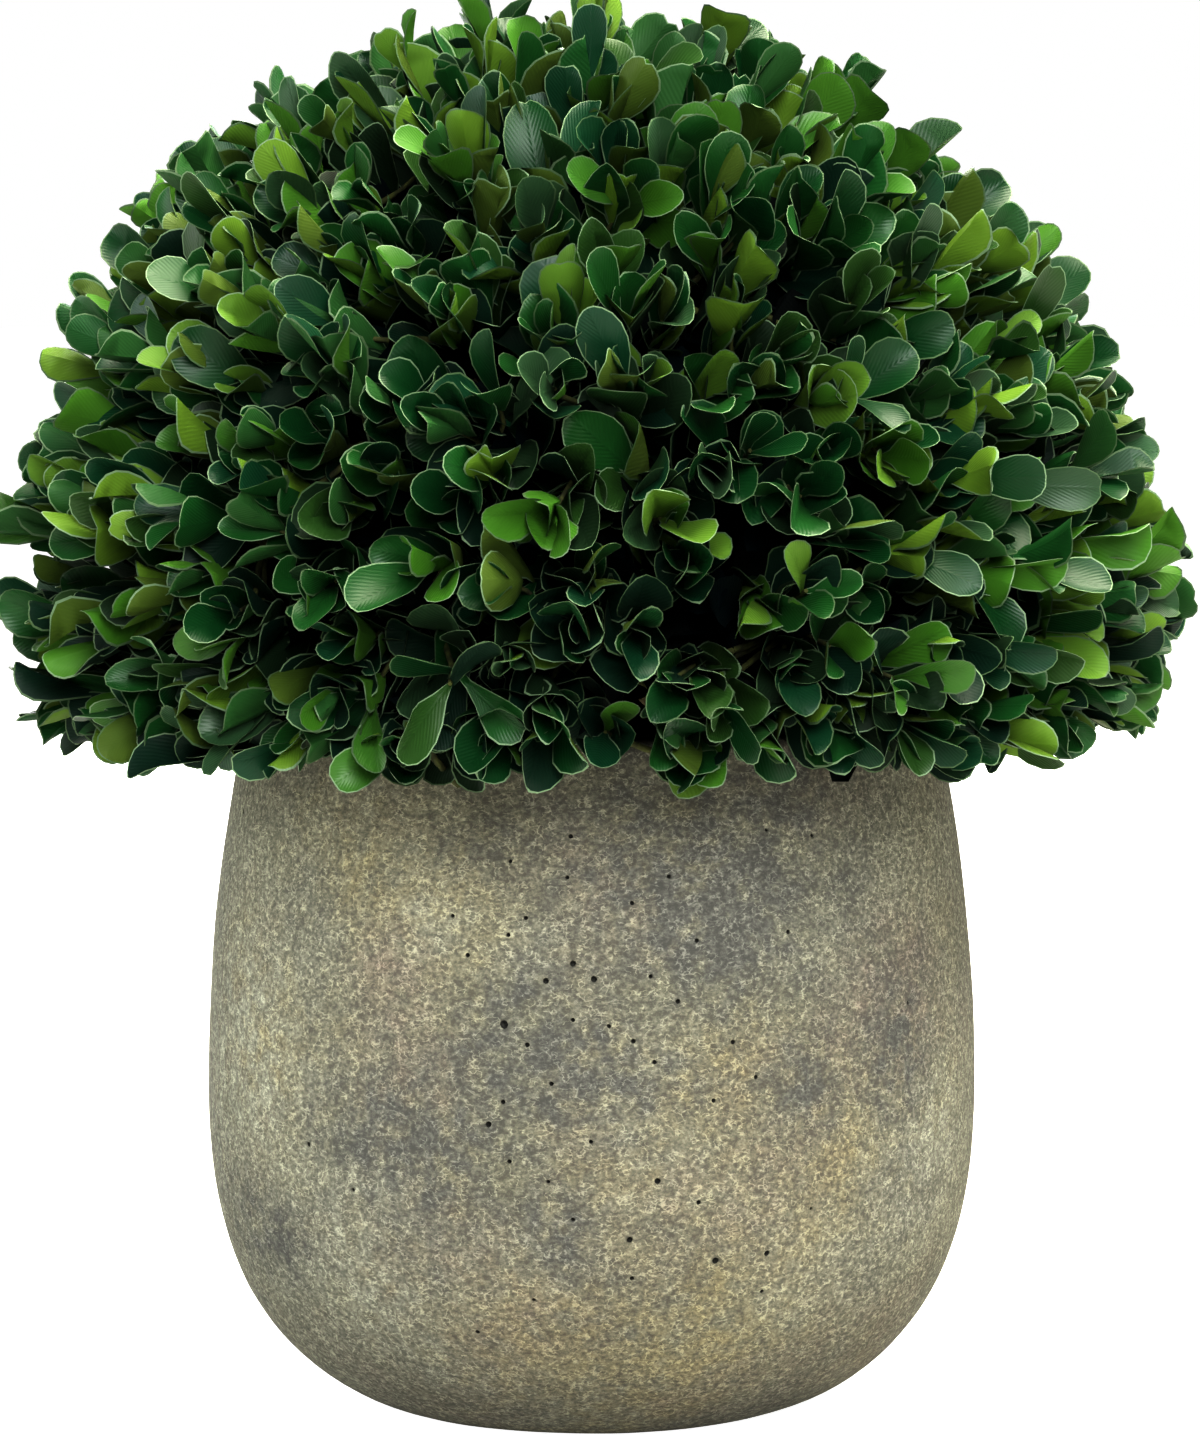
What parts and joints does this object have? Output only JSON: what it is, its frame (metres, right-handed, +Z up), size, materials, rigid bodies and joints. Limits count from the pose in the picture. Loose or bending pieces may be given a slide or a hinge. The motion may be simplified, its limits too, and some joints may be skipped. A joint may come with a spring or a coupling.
{
  "type": "clipped box topiary ball in a cement pot",
  "caption": "Dense clipped ball of small oval leaves on a short hidden stem, overhanging a round-bellied matte cement pot.",
  "frame": {"origin": "centre of the pot's flat underside, on the surface that it stands on", "axes": "+Z up the stem, +X to the right and -Y towards the front"},
  "size_m": [0.2773, 0.2771, 0.3274],
  "materials": {
    "cement": "matte, finely speckled",
    "potting_mix": "loose and crumbly",
    "bark": "rough, finely furrowed",
    "foliage": "leathery leaves with a dull sheen"
  },
  "bodies": {
    "root": {"pot": "cement", "potting_mix": "potting_mix", "stem": "bark", "crown": "foliage"}
  },
  "joints": []
}
